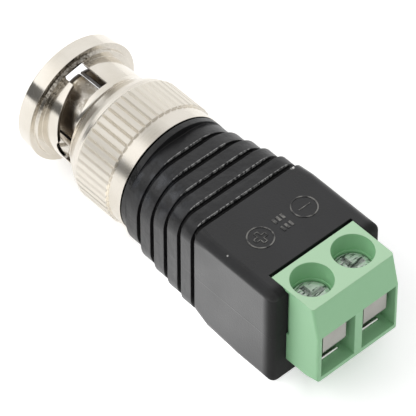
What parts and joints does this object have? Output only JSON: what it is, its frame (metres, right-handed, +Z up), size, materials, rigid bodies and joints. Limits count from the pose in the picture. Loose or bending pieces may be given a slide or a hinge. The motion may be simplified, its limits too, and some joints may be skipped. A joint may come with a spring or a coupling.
{
  "type": "bnc screw terminal adapter",
  "caption": "Video plug adapter: a ribbed black housing with a bayonet coaxial plug at one end and a green screw terminal for bare wires at the other.",
  "frame": {"origin": "bottom centre of the bounding box, in the plane of the housing's flat underside", "axes": "+X from the plug's mouth towards the screw terminal, +Z up out of the screw side; the plug's axis runs along X at y 0, z 6.7 mm"},
  "size_m": [0.04, 0.0134, 0.0134],
  "materials": {
    "housing_plastic": "black, semi-gloss moulding",
    "terminal_plastic": "green, satin moulding",
    "nickel": "nickel plated brass",
    "contact_metal": "nickel plated, turned",
    "pin_metal": "thin gold plating",
    "tinned_brass": "tin plated",
    "plated_steel": "zinc plated",
    "spring_steel": "plain spring steel",
    "white_insulator": "white, waxy",
    "gasket_rubber": "dark silicone",
    "tinned_wire": "bare tinned wire"
  },
  "bodies": {
    "housing": {"plug_housing": "housing_plastic", "plug_body": "contact_metal", "outer_contact": "contact_metal", "gasket": "gasket_rubber", "front_washer": "contact_metal", "wave_spring": "spring_steel", "retaining_ring": "spring_steel", "dielectric": "white_insulator", "rear_insulator": "white_insulator", "centre_pin": "pin_metal", "terminal_block": "terminal_plastic", "left_clamp_nut": "plated_steel", "right_clamp_nut": "plated_steel", "left_solder_pin": "tinned_brass", "right_solder_pin": "tinned_brass", "signal_lead": "tinned_wire", "ground_lead": "tinned_wire"},
    "nut_carriage": {"rear_washer": "contact_metal"},
    "nut": {"bayonet_nut": "nickel"},
    "left_guard": {"left_wire_guard": "tinned_brass"},
    "left_screw": {"left_terminal_screw": "plated_steel"},
    "right_guard": {"right_wire_guard": "tinned_brass"},
    "right_screw": {"right_terminal_screw": "plated_steel"}
  },
  "joints": [
    {"name": "nut_push", "type": "slide", "parent": "housing", "child": "nut_carriage", "axis": [-1, 0, 0], "range_m": [0, 0.0008], "stiffness_N_per_m": 1500, "springref_m": -0.0003, "deforming": ["wave_spring"]},
    {"name": "nut_turn", "type": "hinge", "parent": "nut_carriage", "child": "nut", "pos_m": [-0.0086, 0, 0.0067], "axis": [1, 0, 0], "continuous": true},
    {"name": "left_guard_lift", "type": "slide", "parent": "housing", "child": "left_guard", "axis": [0, 0, 1], "range_m": [-0.0013, 0.0006]},
    {"name": "left_screw_turn", "type": "hinge", "parent": "left_guard", "child": "left_screw", "pos_m": [0.01637, -0.00254, 0.008], "axis": [0, 0, 1], "range_deg": [-940, 436]},
    {"name": "right_guard_lift", "type": "slide", "parent": "housing", "child": "right_guard", "axis": [0, 0, 1], "range_m": [-0.0013, 0.0006]},
    {"name": "right_screw_turn", "type": "hinge", "parent": "right_guard", "child": "right_screw", "pos_m": [0.01637, 0.00254, 0.008], "axis": [0, 0, 1], "range_deg": [-940, 436]}
  ],
  "couplings": [
    {"joint": "left_screw_turn", "follows": "left_guard_lift", "rad_per_m": 12566},
    {"joint": "right_screw_turn", "follows": "right_guard_lift", "rad_per_m": 12566}
  ]
}
